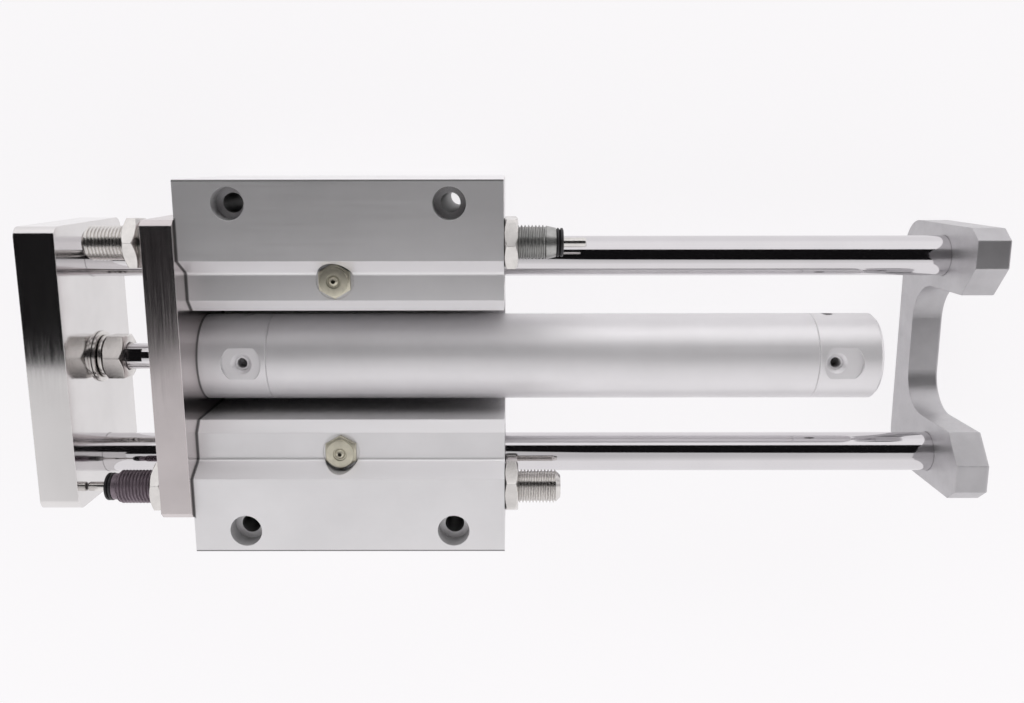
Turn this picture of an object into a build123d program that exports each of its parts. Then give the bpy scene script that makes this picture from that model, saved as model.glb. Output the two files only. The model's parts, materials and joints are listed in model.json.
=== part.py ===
from build123d import *
import os
from math import sqrt

# Twin-rod guided air cylinder, retracted. Millimetres.
# X runs along the rods towards the rear plate, Z is up from the mounting face, Y is across.
# The origin is on the mounting face, midway between the four mounting holes.

# Layout
axis_height = 30.0            # cylinder and guide rod axes above the mounting face
rod_spacing = 61.6            # between the guide rod axes, along Y
stop_spacing = 72.6           # between the stop axes, along Y
stop_height = 47.0            # stop axes above the mounting face
front_plate_gap = 24.6        # front plate to flange
rear_plate_gap = 132.5        # rear plate to guide body

# Clearances
running_gap = 0.03            # radial, shaft in its bush
fit_gap = 0.02                # radial, piece pressed or seated in a bore
thread_gap = 0.05             # radial, threaded piece in its hole
rest_gap = 0.3                # a stop plunger and the plate that it meets
pass_gap = 0.6                # radial, rod through a plain hole

# Guide body, an extrusion with a channel for the cylinder
body_length = 91.0
body_width = 108.4
body_height = 54.0
wing_inner_width = 63.4       # between the inner edges of the raised wings
band_outer_width = 55.6       # foot of the slope below each wing
band_height = 47.3
band_inner_width = 39.4
channel_width = 32.8
channel_chamfer_height = 44.5
channel_floor_height = 14.5
channel_floor_radius = 6.0
body_edge = 0.4
body_foot_radius = 1.5        # hollow corner at the foot of each wing's slope
mount_from_end = 15.0         # mounting holes from the body's ends
mount_from_side = 6.6         # mounting holes from the body's sides
mount_hole_radius = 2.8
mount_head_radius = 4.65
mount_head_depth = 6.2

# Guide bushes, wipers and felts in the body's long bores
bush_outer_radius = 9.0
bush_length = 26.0
wiper_length = 4.0
wiper_inset = 0.5
wiper_lip = 1.2
felt_length = 12.0

# Grease nipples on the bands
nipple_x = -2.9
nipple_spacing = 51.0
nipple_thread_radius = 2.95
nipple_thread_length = 5.0
nipple_hex = 9.0
nipple_hex_turn = 30.0        # degrees, so that two flats face along X
nipple_hex_height = 2.3
nipple_collar_radius = 4.2
nipple_collar_height = 0.4
nipple_ball_radius = 1.6
nipple_ball_rise = 0.6        # top of the ball above the collar
nipple_bore_radius = 0.5
nipple_bore_depth = 2.0
nipple_seat_radius = 5.4      # spot face milled round each nipple
nipple_seat_depth = 0.1

# Front flange
flange_thickness = 8.9
flange_width = 86.4
flange_top = 56.0
flange_bottom = 2.0
flange_corner = 1.5
boss_seat_depth = 2.5

# Front plate
front_plate_thickness = 11.3
front_plate_width = 82.6
front_plate_top = 54.0
front_plate_bottom = 8.0
front_plate_corner = 3.0
load_spacing_y = 36.0
load_spacing_z = 28.0
load_hole_radius = 2.5
load_hole_depth = 9.0

# Rear plate, a casting bent like a U below the cylinder
rear_plate_thickness = 9.75
rear_plate_width = 80.4
rear_plate_top = 51.3
rear_plate_bottom = 1.5
rear_top_width = 74.0         # between the outer edges of the bosses' tops
rear_top_inner_width = 58.0   # between the inner edges of the bosses' tops
rear_chamfer_foot = 47.0      # lower edge of the outer chamfer
rear_slope_foot = 44.1        # lower edge of the inner slope
rear_gap_width = 41.2         # clear width between the bosses
web_top = 12.0
rear_foot_radius = 10.0
rear_gap_radius = 12.0
rear_edge = 0.8

# Guide rods and their screws
guide_rod_radius = 6.0
rod_seat_depth = 1.0
rod_edge = 0.8
rod_tap_depth = 16.0
screw_radius = 2.5
screw_length = 16.0
screw_head_radius = 4.25
screw_head_height = 5.0
screw_socket = 4.0
head_pocket_radius = 4.6
head_pocket_depth = 5.2

# Air cylinder
stroke = 125.0
tube_outer_radius = 13.0
tube_bore_radius = 10.0
cover_spigot = 8.0
rod_cover_length = 20.3
head_cover_length = 19.25
boss_radius = 7.0
boss_length = 2.2
cover_edge = 1.0
bumper_thickness = 1.5
bumper_outer_radius = 6.1
bumper_inner_radius = 4.6
gasket_groove = 1.9           # width of the gasket's groove
gasket_thickness = 1.6
gasket_from_face = 4.0        # gasket's middle from the spigot's end
port_radius = 2.1
port_depth = 7.0
port_sink_radius = 3.1        # mouth of the port's countersink
port_spot_radius = 5.9
port_spot_depth = 0.9
rear_spot_offset = 2.0        # rear spot face's centre behind its port
seam_edge = 0.3               # turned edge on each side of the tube's two seams
front_port_from_face = 12.9   # port's axis behind the flange
rear_port_from_face = 14.0    # port's axis in front of the cylinder's rear end
air_way_radius = 1.1
air_way_offset = 7.3          # air way from the cylinder axis
side_hole_radius = 1.7
side_hole_depth = 4.0
cover_tap_offset = 7.0        # cover's tapped holes from the axis, along Y and Z
cover_tap_radius = 1.65       # open tapped holes in the head cover
cover_tap_depth = 8.0
rod_bush_radius = 5.5
rod_bush_length = 14.0
rod_seal_radius = 5.3
rod_seal_length = 4.0
seal_ring_thickness = 0.8
cover_wall = 1.0              # between the rod seal and the rod bush

# Cylinder and flange screws
cover_screw_radius = 2.0
cover_screw_length = 12.0
cover_screw_head_radius = 3.5
cover_screw_head_height = 4.0
cover_screw_socket = 3.0
cover_pocket_radius = 3.7
cover_pocket_depth = 4.2
flange_screw_upper_y = 22.0
flange_screw_upper_z = 42.5
flange_screw_lower_y = 34.0
flange_screw_lower_z = 12.0
flange_tap_depth = 14.0

# Piston, rod and the rod's fastening
piston_length = 20.0
piston_radius = 9.7
piston_end_gap = 6.5          # piston to the rear bumper
piston_neck_radius = 3.0
seal_offset = 6.0
seal_width = 3.2
seal_root_radius = 7.6
wear_offset = 12.5
wear_width = 4.0
wear_root_radius = 8.8
piston_rod_radius = 4.0
flats_width = 7.0
flats_length = 4.8
flats_turn = 15.0             # degrees, the wrench flats lean towards +Y
rod_nut_flats = 13.0
rod_nut_turn = 26.0           # degrees, where the tightened nut's corners lie
rod_nut_thickness = 6.3
front_nut_thickness = 4.0
front_nut_pocket_radius = 8.2
front_nut_pocket_depth = 5.4
rod_end_inset = 1.0           # rod's end below the front plate's face
washer_radius = 7.8
washer_thickness = 1.0
spring_washer_radius = 6.6
spring_washer_thickness = 1.6
spring_washer_slit = 1.2

# Stops: an adjusting bolt and a shock absorber at each end
stop_radius = 5.0
stop_nut_flats = 14.0
stop_nut_thickness = 4.0
front_bolt_nut_gap = 2.2      # the front bolt's nut stands off the flange
front_bolt_nut_turn = 26.0    # degrees, as the four lock nuts were tightened
front_absorber_nut_turn = 11.0
rear_absorber_nut_turn = 34.0
rear_bolt_nut_turn = 7.0
stop_hole_depth = 30.0
front_bolt_reach = 18.7       # bolt's tip from the flange's front face
rear_bolt_reach = 16.5        # bolt's tip from the body's rear face
stop_bolt_inside = 24.0       # length inside the body
stop_bolt_tip = 1.6
stop_bolt_socket = 5.0
stop_bolt_socket_depth = 5.0
front_absorber_reach = 18.6
rear_absorber_reach = 16.8
absorber_inside = 26.0
absorber_bore_radius = 3.4
absorber_end_wall = 3.0
absorber_cap_radius = 4.1
absorber_cap_length = 2.1
front_neck_radius = 3.9       # front absorber's neck behind its cap
front_neck_length = 1.5
rear_taper_radius = 4.8       # rear absorber's plain taper behind its cap
rear_taper_length = 2.8
plunger_radius = 1.4
plunger_tip_edge = 0.3
plunger_piston_radius = 3.1
plunger_piston_length = 4.0
rear_plunger_reach = 6.5      # rear plunger out of its cap

# Places worked out from the sizes above
body_front = -body_length / 2
body_rear = body_length / 2
flange_front = body_front - flange_thickness
front_inner = flange_front - front_plate_gap
front_outer = front_inner - front_plate_thickness
rear_inner = body_rear + rear_plate_gap
rear_outer = rear_inner + rear_plate_thickness
mount_spacing_x = body_length - 2 * mount_from_end
mount_spacing_y = body_width - 2 * mount_from_side
rod_y = rod_spacing / 2
stop_y = stop_spacing / 2
tube_length = stroke + piston_length + 2 * (bumper_thickness + cover_spigot)
tube_front = body_front + rod_cover_length
tube_rear = tube_front + tube_length
cylinder_rear = tube_rear + head_cover_length
front_spigot_end = tube_front + cover_spigot
rear_spigot_end = tube_rear - cover_spigot
piston_rear = rear_spigot_end - bumper_thickness - piston_end_gap
piston_front = piston_rear - piston_length
front_port_x = body_front + front_port_from_face
rear_port_x = cylinder_rear - rear_port_from_face
rod_nut_front = front_inner + washer_thickness + spring_washer_thickness
rod_nut_rear = rod_nut_front + rod_nut_thickness
seal_pocket_end = body_front - boss_length + seal_ring_thickness + rod_seal_length
rod_bush_front = seal_pocket_end + cover_wall


def section(x):
    """Plane across the rods at x: its first axis is Y and its second is Z."""
    return Plane(origin=(x, 0, 0), x_dir=(0, 1, 0), z_dir=(1, 0, 0))


def bar(radius, x0, x1, y=0.0, z=axis_height):
    """Round bar along X."""
    return extrude(section(x0) * Pos(y, z) * Circle(radius), x1 - x0)


def ring(outer, inner, x0, x1, y=0.0, z=axis_height):
    """Round ring along X."""
    return extrude(section(x0) * Pos(y, z) * (Circle(outer) - Circle(inner)), x1 - x0)


def turned(stations, y=0.0, z=axis_height):
    """Solid turned about an axis along X, from (x, radius) stations."""
    ends = [(stations[0][0], 0.0), *stations, (stations[-1][0], 0.0)]
    outline = Pos(0, y, z) * make_face(Polyline(*ends, close=True))
    return revolve(outline, Axis((0, y, z), (1, 0, 0)))


def hexagon(flats, x0, x1, y=0.0, z=axis_height, turn=0.0):
    """Six-sided bar along X, of the given width across its flats."""
    shape = RegularPolygon(flats / 2, 6, major_radius=False, rotation=turn)
    return extrude(section(x0) * Pos(y, z) * shape, x1 - x0)


def hex_nut(flats, thickness, bore, x0, y=0.0, z=axis_height, turn=0.0):
    """Hexagon nut along X with both faces' corners turned off."""
    corner = flats / sqrt(3)
    face = flats / 2 * 0.95
    slope = corner - face
    blank = turned(
        [
            (x0, face),
            (x0 + slope / 2, corner),
            (x0 + thickness - slope / 2, corner),
            (x0 + thickness, face),
        ],
        y,
        z,
    )
    nut = blank & hexagon(flats, x0, x0 + thickness, y, z, turn)
    return nut - bar(bore, x0 - 1, x0 + thickness + 1, y, z)


def cap_screw(radius, length, head_radius, head_height, socket, under_head, y, z, direction):
    """Socket screw along X. Its shank leaves the head at under_head in the given direction."""
    head_end = under_head - direction * head_height
    shank_end = under_head + direction * length
    edge = radius * 0.15
    screw = turned(
        [
            (head_end, head_radius - edge),
            (head_end + direction * edge, head_radius),
            (under_head, head_radius),
            (under_head, radius),
            (shank_end - direction * edge, radius),
            (shank_end, radius - edge),
        ],
        y,
        z,
    )
    socket_end = head_end + direction * head_height / 2
    return screw - hexagon(socket, min(head_end, socket_end), max(head_end, socket_end), y, z)


def outline_from_half(half):
    """Closed outline from its half at positive Y."""
    return [*half, *[(-y, z) for y, z in reversed(half) if y > 0]]


def upright(radius, x, y, z0, z1):
    """Round bar along Z."""
    return Pos(x, y, (z0 + z1) / 2) * Cylinder(radius, z1 - z0)


def stop_holes(x0, x1, radius):
    """Both stops' holes between two sections."""
    return [bar(radius, x0, x1, side * stop_y, stop_height) for side in (1, -1)]


def flange_screw_places():
    """Y and Z of the four screws that hold the flange to the body."""
    upper = (flange_screw_upper_y, flange_screw_upper_z)
    lower = (flange_screw_lower_y, flange_screw_lower_z)
    return [(side * y, z) for y, z in (upper, lower) for side in (1, -1)]


def cover_screw_places():
    """Y and Z of the four tapped holes in a cylinder cover."""
    return [
        (a * cover_tap_offset, axis_height + b * cover_tap_offset)
        for a in (1, -1)
        for b in (1, -1)
    ]


def mount_places():
    """X and Y of the four mounting holes."""
    return [(a * mount_spacing_x / 2, b * mount_spacing_y / 2) for a in (1, -1) for b in (1, -1)]


# Guide body and what is pressed into it


def guide_body():
    half = [
        (body_width / 2, 0),
        (body_width / 2, body_height),
        (wing_inner_width / 2, body_height),
        (band_outer_width / 2, band_height),
        (band_inner_width / 2, band_height),
        (channel_width / 2, channel_chamfer_height),
        (channel_width / 2, channel_floor_height),
    ]
    profile = make_face(Polyline(*outline_from_half(half), close=True))
    floor_corners = [
        v for v in profile.vertices()
        if abs(v.Y - channel_floor_height) < 0.01
    ]
    profile = fillet(floor_corners, channel_floor_radius)
    slope_feet = [v for v in profile.vertices() if abs(abs(v.X) - band_outer_width / 2) < 0.01]
    profile = fillet(slope_feet, body_foot_radius)
    outer_corners = [v for v in profile.vertices() if abs(abs(v.X) - body_width / 2) < 0.01]
    profile = chamfer(outer_corners, body_edge)
    body = extrude(section(body_front) * profile, body_length)
    for side in (1, -1):
        body -= bar(bush_outer_radius, body_front, body_rear, side * rod_y)
        nipple_y = side * nipple_spacing / 2
        seat = band_height - nipple_seat_depth
        body -= upright(nipple_thread_radius + thread_gap, nipple_x, nipple_y, axis_height, seat)
        body -= upright(nipple_seat_radius, nipple_x, nipple_y, seat, body_height)
    for hole in stop_holes(body_front, body_front + stop_hole_depth, stop_radius):
        body -= hole
    for hole in stop_holes(body_rear - stop_hole_depth, body_rear, stop_radius):
        body -= hole
    for y, z in flange_screw_places():
        body -= bar(screw_radius + thread_gap, body_front, body_front + flange_tap_depth, y, z)
    for x, y in mount_places():
        body -= upright(mount_hole_radius, x, y, 0, body_height)
        body -= upright(mount_head_radius, x, y, body_height - mount_head_depth, body_height)
    return body


def bushes(x0):
    """A guide bush on each rod, starting at x0."""
    outer = bush_outer_radius - fit_gap
    inner = guide_rod_radius + running_gap
    return [ring(outer, inner, x0, x0 + bush_length, side * rod_y) for side in (1, -1)]


def front_guide_bushes():
    return bushes(body_front + wiper_inset + wiper_length)


def rear_guide_bushes():
    return bushes(body_rear - wiper_inset - wiper_length - bush_length)


def rod_wipers():
    """A wiper at each end of both body bores, its lip towards the outside."""
    wipers = []
    outer = bush_outer_radius - fit_gap
    lip_radius = guide_rod_radius + running_gap
    for x, direction in ((body_front + wiper_inset, 1), (body_rear - wiper_inset, -1)):
        for side in (1, -1):
            back = x + direction * wiper_length
            lip_end = x + direction * wiper_lip
            wiper = ring(outer, lip_radius, min(x, back), max(x, back), side * rod_y)
            wiper -= turned(
                [
                    (x, lip_radius + wiper_lip),
                    (lip_end, lip_radius),
                ],
                side * rod_y,
            )
            wipers.append(wiper)
    return wipers


def grease_felts():
    """A greased felt ring on each rod, in the gap between its bushes."""
    outer = bush_outer_radius - fit_gap
    inner = guide_rod_radius + running_gap
    return [
        ring(outer, inner, -felt_length / 2, felt_length / 2, side * rod_y)
        for side in (1, -1)
    ]


def grease_nipples():
    nipples = []
    for side in (1, -1):
        y = side * nipple_spacing / 2
        seat = band_height - nipple_seat_depth
        collar_base = seat + nipple_hex_height
        collar_top = collar_base + nipple_collar_height
        tip = collar_top + nipple_ball_rise
        hexagon_base = Plane(origin=(nipple_x, y, seat))
        shape = RegularPolygon(nipple_hex / 2, 6, major_radius=False, rotation=nipple_hex_turn)
        nipple = extrude(hexagon_base * shape, nipple_hex_height)
        nipple += upright(nipple_thread_radius, nipple_x, y, seat - nipple_thread_length, seat)
        nipple += upright(nipple_collar_radius, nipple_x, y, collar_base, collar_top)
        nipple += Pos(nipple_x, y, tip - nipple_ball_radius) * Sphere(nipple_ball_radius)
        nipple -= upright(nipple_bore_radius, nipple_x, y, tip - nipple_bore_depth, tip)
        nipples.append(nipple)
    return nipples


# Flange and its screws


def front_flange():
    height = flange_top - flange_bottom
    middle = (flange_top + flange_bottom) / 2
    shape = Pos(0, middle) * Rectangle(flange_width, height)
    shape = chamfer(shape.vertices(), flange_corner)
    flange = extrude(section(flange_front) * shape, flange_thickness)
    flange -= bar(piston_rod_radius + pass_gap, flange_front, body_front)
    flange -= bar(boss_radius + fit_gap, body_front - boss_seat_depth, body_front)
    for side in (1, -1):
        flange -= bar(guide_rod_radius + pass_gap, flange_front, body_front, side * rod_y)
    for hole in stop_holes(flange_front, body_front, stop_radius):
        flange -= hole
    for y, z in flange_screw_places():
        flange -= bar(screw_radius + pass_gap / 2, flange_front, body_front, y, z)
        flange -= bar(head_pocket_radius, flange_front, flange_front + head_pocket_depth, y, z)
    for y, z in cover_screw_places():
        flange -= bar(cover_screw_radius + pass_gap / 2, flange_front, body_front, y, z)
        flange -= bar(cover_pocket_radius, flange_front, flange_front + cover_pocket_depth, y, z)
    return flange


def flange_screws():
    under_head = flange_front + head_pocket_depth
    return [
        cap_screw(
            screw_radius, screw_length, screw_head_radius, screw_head_height,
            screw_socket, under_head, y, z, 1,
        )
        for y, z in flange_screw_places()
    ]


def cylinder_screws():
    under_head = flange_front + cover_pocket_depth
    return [
        cap_screw(
            cover_screw_radius - thread_gap, cover_screw_length, cover_screw_head_radius,
            cover_screw_head_height, cover_screw_socket, under_head, y, z, 1,
        )
        for y, z in cover_screw_places()
    ]


# Air cylinder


def cover_features(cover, port_x, spot_x, air_way_end):
    """Air port with its spot face, air way to the spigot's end and the two side holes."""
    top = axis_height + tube_outer_radius
    spot = top - port_spot_depth
    sink_depth = port_sink_radius - port_radius
    sink = Cone(port_radius, port_sink_radius, sink_depth)
    cover -= upright(port_radius, port_x, 0, top - port_depth, top)
    cover -= upright(port_spot_radius, spot_x, 0, spot, top + 1)
    cover -= Pos(port_x, 0, spot - sink_depth / 2) * sink
    way_height = axis_height + air_way_offset
    cover -= bar(air_way_radius, min(port_x, air_way_end), max(port_x, air_way_end), 0, way_height)
    for side in (1, -1):
        middle = side * (tube_outer_radius - side_hole_depth / 2)
        hole = Rot(90, 0, 0) * Cylinder(side_hole_radius, side_hole_depth)
        cover -= Pos(port_x, middle, axis_height) * hole
    return cover


def gasket_place(spigot_end, direction):
    """Middle of the gasket, back from a spigot's end."""
    return spigot_end - direction * gasket_from_face


def gasket_root():
    return tube_bore_radius - fit_gap - gasket_thickness


def rod_cover():
    spigot = tube_bore_radius - fit_gap
    groove = gasket_place(front_spigot_end, 1)
    cover = turned(
        [
            (body_front - boss_length, boss_radius),
            (body_front, boss_radius),
            (body_front, tube_outer_radius),
            (tube_front - seam_edge, tube_outer_radius),
            (tube_front, tube_outer_radius - seam_edge),
            (tube_front, spigot),
            (front_spigot_end, spigot),
        ]
    )
    cover -= ring(spigot + 1, gasket_root(), groove - gasket_groove / 2, groove + gasket_groove / 2)
    cover -= bar(piston_rod_radius + pass_gap, body_front - boss_length, front_spigot_end)
    cover -= bar(rod_seal_radius, body_front - boss_length, seal_pocket_end)
    cover -= bar(rod_bush_radius, rod_bush_front, front_spigot_end)
    for y, z in cover_screw_places():
        cover -= bar(cover_screw_radius, body_front, body_front + cover_tap_depth, y, z)
    return cover_features(cover, front_port_x, front_port_x, front_spigot_end)


def head_cover():
    spigot = tube_bore_radius - fit_gap
    groove = gasket_place(rear_spigot_end, -1)
    cover = turned(
        [
            (rear_spigot_end, spigot),
            (tube_rear, spigot),
            (tube_rear, tube_outer_radius - seam_edge),
            (tube_rear + seam_edge, tube_outer_radius),
            (cylinder_rear - cover_edge, tube_outer_radius),
            (cylinder_rear, tube_outer_radius - cover_edge),
        ]
    )
    cover -= ring(spigot + 1, gasket_root(), groove - gasket_groove / 2, groove + gasket_groove / 2)
    for y, z in cover_screw_places():
        cover -= bar(cover_tap_radius, cylinder_rear - cover_tap_depth, cylinder_rear, y, z)
    return cover_features(cover, rear_port_x, rear_port_x + rear_spot_offset, rear_spigot_end)


def cylinder_tube():
    tube = turned(
        [
            (tube_front, tube_outer_radius - seam_edge),
            (tube_front + seam_edge, tube_outer_radius),
            (tube_rear - seam_edge, tube_outer_radius),
            (tube_rear, tube_outer_radius - seam_edge),
        ]
    )
    return tube - bar(tube_bore_radius, tube_front, tube_rear)


def tube_gaskets():
    """The rubber rings in the covers' grooves."""
    middle = gasket_root() + gasket_thickness / 2
    places = (gasket_place(front_spigot_end, 1), gasket_place(rear_spigot_end, -1))
    round_ring = Rot(0, 90, 0) * Torus(middle, gasket_thickness / 2)
    return [Pos(x, 0, axis_height) * round_ring for x in places]


def piston_bumpers():
    """Soft rings on the covers that the piston meets at its two ends."""
    front = ring(
        bumper_outer_radius, bumper_inner_radius, front_spigot_end, front_spigot_end + bumper_thickness
    )
    rear = ring(
        bumper_outer_radius, bumper_inner_radius, rear_spigot_end - bumper_thickness, rear_spigot_end
    )
    return [front, rear]


def rod_bush():
    return ring(
        rod_bush_radius - fit_gap,
        piston_rod_radius + running_gap,
        rod_bush_front,
        rod_bush_front + rod_bush_length,
    )


def rod_seal():
    start = seal_pocket_end - rod_seal_length
    return ring(rod_seal_radius - fit_gap, piston_rod_radius + running_gap, start, seal_pocket_end)


def seal_ring():
    """Steel ring that holds the rod seal in its pocket."""
    start = body_front - boss_length
    return ring(rod_seal_radius - fit_gap, piston_rod_radius + pass_gap, start, start + seal_ring_thickness)


# Moving frame: plates, guide rods and piston rod


def plate_screw_places():
    return [(side * rod_y, axis_height) for side in (1, -1)]


def front_plate():
    height = front_plate_top - front_plate_bottom
    middle = (front_plate_top + front_plate_bottom) / 2
    shape = Pos(0, middle) * Rectangle(front_plate_width, height)
    shape = fillet(shape.vertices(), front_plate_corner)
    plate = extrude(section(front_outer) * shape, front_plate_thickness)
    plate -= bar(piston_rod_radius + thread_gap, front_outer, front_inner)
    plate -= bar(front_nut_pocket_radius, front_outer, front_outer + front_nut_pocket_depth)
    for y, z in plate_screw_places():
        plate -= bar(screw_radius + pass_gap / 2, front_outer, front_inner, y, z)
        plate -= bar(head_pocket_radius, front_outer, front_outer + head_pocket_depth, y, z)
        plate -= bar(guide_rod_radius + fit_gap, front_inner - rod_seat_depth, front_inner, y, z)
    for a in (1, -1):
        for b in (1, -1):
            y = a * load_spacing_y / 2
            z = axis_height + b * load_spacing_z / 2
            plate -= bar(load_hole_radius, front_outer, front_outer + load_hole_depth, y, z)
    return plate


def rear_plate():
    half = [
        (rear_plate_width / 2, rear_plate_bottom),
        (rear_plate_width / 2, rear_chamfer_foot),
        (rear_top_width / 2, rear_plate_top),
        (rear_top_inner_width / 2, rear_plate_top),
        (rear_gap_width / 2, rear_slope_foot),
        (rear_gap_width / 2, web_top),
    ]
    profile = make_face(Polyline(*outline_from_half(half), close=True))
    feet = [v for v in profile.vertices() if abs(v.Y - rear_plate_bottom) < 0.01]
    profile = fillet(feet, rear_foot_radius)
    gap_corners = [
        v for v in profile.vertices()
        if abs(v.Y - web_top) < 0.01 and abs(abs(v.X) - rear_gap_width / 2) < 0.01
    ]
    profile = fillet(gap_corners, rear_gap_radius)
    plate = extrude(section(rear_inner) * profile, rear_plate_thickness)
    plate = fillet(plate.faces().sort_by(Axis.X)[-1].edges(), rear_edge)
    for y, z in plate_screw_places():
        plate -= bar(screw_radius + pass_gap / 2, rear_inner, rear_outer, y, z)
        plate -= bar(head_pocket_radius, rear_outer - head_pocket_depth, rear_outer, y, z)
        plate -= bar(guide_rod_radius + fit_gap, rear_inner, rear_inner + rod_seat_depth, y, z)
    return plate


def plate_screws(under_head, direction):
    return [
        cap_screw(
            screw_radius, screw_length, screw_head_radius, screw_head_height,
            screw_socket, under_head, y, z, direction,
        )
        for y, z in plate_screw_places()
    ]


def front_plate_screws():
    return plate_screws(front_outer + head_pocket_depth, 1)


def rear_plate_screws():
    return plate_screws(rear_outer - head_pocket_depth, -1)


def guide_rod(side):
    """Hardened rod seated in both plates, tapped at both ends."""
    start = front_inner - rod_seat_depth
    end = rear_inner + rod_seat_depth
    rod = turned(
        [
            (start, guide_rod_radius - rod_edge),
            (start + rod_edge, guide_rod_radius),
            (end - rod_edge, guide_rod_radius),
            (end, guide_rod_radius - rod_edge),
        ],
        side * rod_y,
    )
    rod -= bar(screw_radius + thread_gap, start, start + rod_tap_depth, side * rod_y)
    rod -= bar(screw_radius + thread_gap, end - rod_tap_depth, end, side * rod_y)
    return rod


def piston_rod():
    """Rod from the front plate to the piston, with wrench flats behind its nut."""
    start = front_outer + rod_end_inset
    edge = rod_edge
    rod = turned(
        [
            (start, piston_rod_radius - edge),
            (start + edge, piston_rod_radius),
            (piston_front, piston_rod_radius),
            (piston_front, piston_neck_radius),
            (piston_rear, piston_neck_radius),
        ]
    )
    middle = rod_nut_rear + flats_length / 2
    place = Pos(middle, 0, axis_height) * Rot(-flats_turn, 0, 0)
    slab = place * Box(flats_length, 3 * piston_rod_radius, 3 * piston_rod_radius)
    kept = place * Box(flats_length, 3 * piston_rod_radius, flats_width)
    return rod - (slab - kept)


def rod_nut():
    return hex_nut(
        rod_nut_flats, rod_nut_thickness, piston_rod_radius + fit_gap, rod_nut_front, turn=rod_nut_turn
    )


def rod_front_nut():
    start = front_outer + front_nut_pocket_depth - front_nut_thickness
    return hex_nut(rod_nut_flats, front_nut_thickness, piston_rod_radius + fit_gap, start)


def flat_washer():
    inner = piston_rod_radius + fit_gap
    return ring(washer_radius, inner, front_inner, front_inner + washer_thickness)


def spring_washer():
    """Split ring between the flat washer and the nut."""
    start = front_inner + washer_thickness
    end = start + spring_washer_thickness
    washer = ring(spring_washer_radius, piston_rod_radius + fit_gap, start, end)
    reach = spring_washer_radius + 1
    slit = Box(2 * spring_washer_thickness, reach, spring_washer_slit)
    return washer - Pos((start + end) / 2, -reach / 2, axis_height) * slit


def piston():
    body = ring(piston_radius, piston_neck_radius + fit_gap, piston_front, piston_rear)
    seal_start = piston_front + seal_offset
    wear_start = piston_front + wear_offset
    body -= ring(piston_radius + 1, seal_root_radius, seal_start, seal_start + seal_width)
    body -= ring(piston_radius + 1, wear_root_radius, wear_start, wear_start + wear_width)
    return body


def piston_seal():
    start = piston_front + seal_offset + fit_gap
    outer = tube_bore_radius - running_gap
    return ring(outer, seal_root_radius + fit_gap, start, start + seal_width - 2 * fit_gap)


def wear_ring():
    start = piston_front + wear_offset + fit_gap
    outer = tube_bore_radius - running_gap
    return ring(outer, wear_root_radius + fit_gap, start, start + wear_width - 2 * fit_gap)


# Stops


def adjusting_bolt(tip, face, y):
    """Threaded bolt with a chamfered tip and a socket in it. The face is where it enters the body."""
    direction = 1 if face > tip else -1
    end = face + direction * stop_bolt_inside
    radius = stop_radius - thread_gap
    bolt = turned(
        [
            (tip, radius - stop_bolt_tip),
            (tip + direction * stop_bolt_tip, radius),
            (end, radius),
        ],
        y,
        stop_height,
    )
    socket_end = tip + direction * stop_bolt_socket_depth
    socket = hexagon(stop_bolt_socket, min(tip, socket_end), max(tip, socket_end), y, stop_height)
    return bolt - socket


def front_adjusting_bolt():
    return adjusting_bolt(flange_front - front_bolt_reach, body_front, stop_y)


def rear_adjusting_bolt():
    return adjusting_bolt(body_rear + rear_bolt_reach, body_rear, -stop_y)


def stop_nut(x0, side, turn):
    return hex_nut(stop_nut_flats, stop_nut_thickness, stop_radius, x0, side * stop_y, stop_height, turn)


def front_bolt_nut():
    return stop_nut(flange_front - front_bolt_nut_gap - stop_nut_thickness, 1, front_bolt_nut_turn)


def front_absorber_nut():
    return stop_nut(flange_front - stop_nut_thickness, -1, front_absorber_nut_turn)


def rear_absorber_nut():
    return stop_nut(body_rear, 1, rear_absorber_nut_turn)


def rear_bolt_nut():
    return stop_nut(body_rear, -1, rear_bolt_nut_turn)


def absorber_body(tip, face, y, neck_radius, neck_end_radius, neck_length):
    """Hollow threaded body of a shock absorber, with a plain neck behind its cap."""
    direction = 1 if face > tip else -1
    start = tip + direction * absorber_cap_length
    end = face + direction * absorber_inside
    radius = stop_radius - thread_gap
    body = turned(
        [
            (start, neck_radius),
            (start + direction * neck_length, neck_end_radius),
            (start + direction * neck_length, radius),
            (end, radius),
        ],
        y,
        stop_height,
    )
    cavity_end = end - direction * absorber_end_wall
    return body - bar(absorber_bore_radius, min(start, cavity_end), max(start, cavity_end), y, stop_height)


def absorber_cap(tip, direction, y):
    """End cap that the plunger slides through."""
    start = min(tip, tip + direction * absorber_cap_length)
    hole = plunger_radius + running_gap
    return ring(absorber_cap_radius, hole, start, start + absorber_cap_length, y, stop_height)


def plunger(tip, cap_face, stroke_room, y):
    """Plunger with its oil piston. At rest the piston lies against the cap's inner side."""
    direction = 1 if cap_face > tip else -1
    shoulder = cap_face + direction * (absorber_cap_length + stroke_room)
    end = shoulder + direction * plunger_piston_length
    return turned(
        [
            (tip, plunger_radius - plunger_tip_edge),
            (tip + direction * plunger_tip_edge, plunger_radius),
            (shoulder, plunger_radius),
            (shoulder, plunger_piston_radius),
            (end, plunger_piston_radius),
        ],
        y,
        stop_height,
    )


def front_absorber_tip():
    return flange_front - front_absorber_reach


def rear_absorber_tip():
    return body_rear + rear_absorber_reach


def front_absorber_body():
    neck = front_neck_radius
    return absorber_body(front_absorber_tip(), body_front, -stop_y, neck, neck, front_neck_length)


def rear_absorber_body():
    cap, taper = absorber_cap_radius, rear_taper_radius
    return absorber_body(rear_absorber_tip(), body_rear, stop_y, cap, taper, rear_taper_length)


def front_absorber_cap():
    return absorber_cap(front_absorber_tip(), 1, -stop_y)


def rear_absorber_cap():
    return absorber_cap(rear_absorber_tip(), -1, stop_y)


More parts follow.
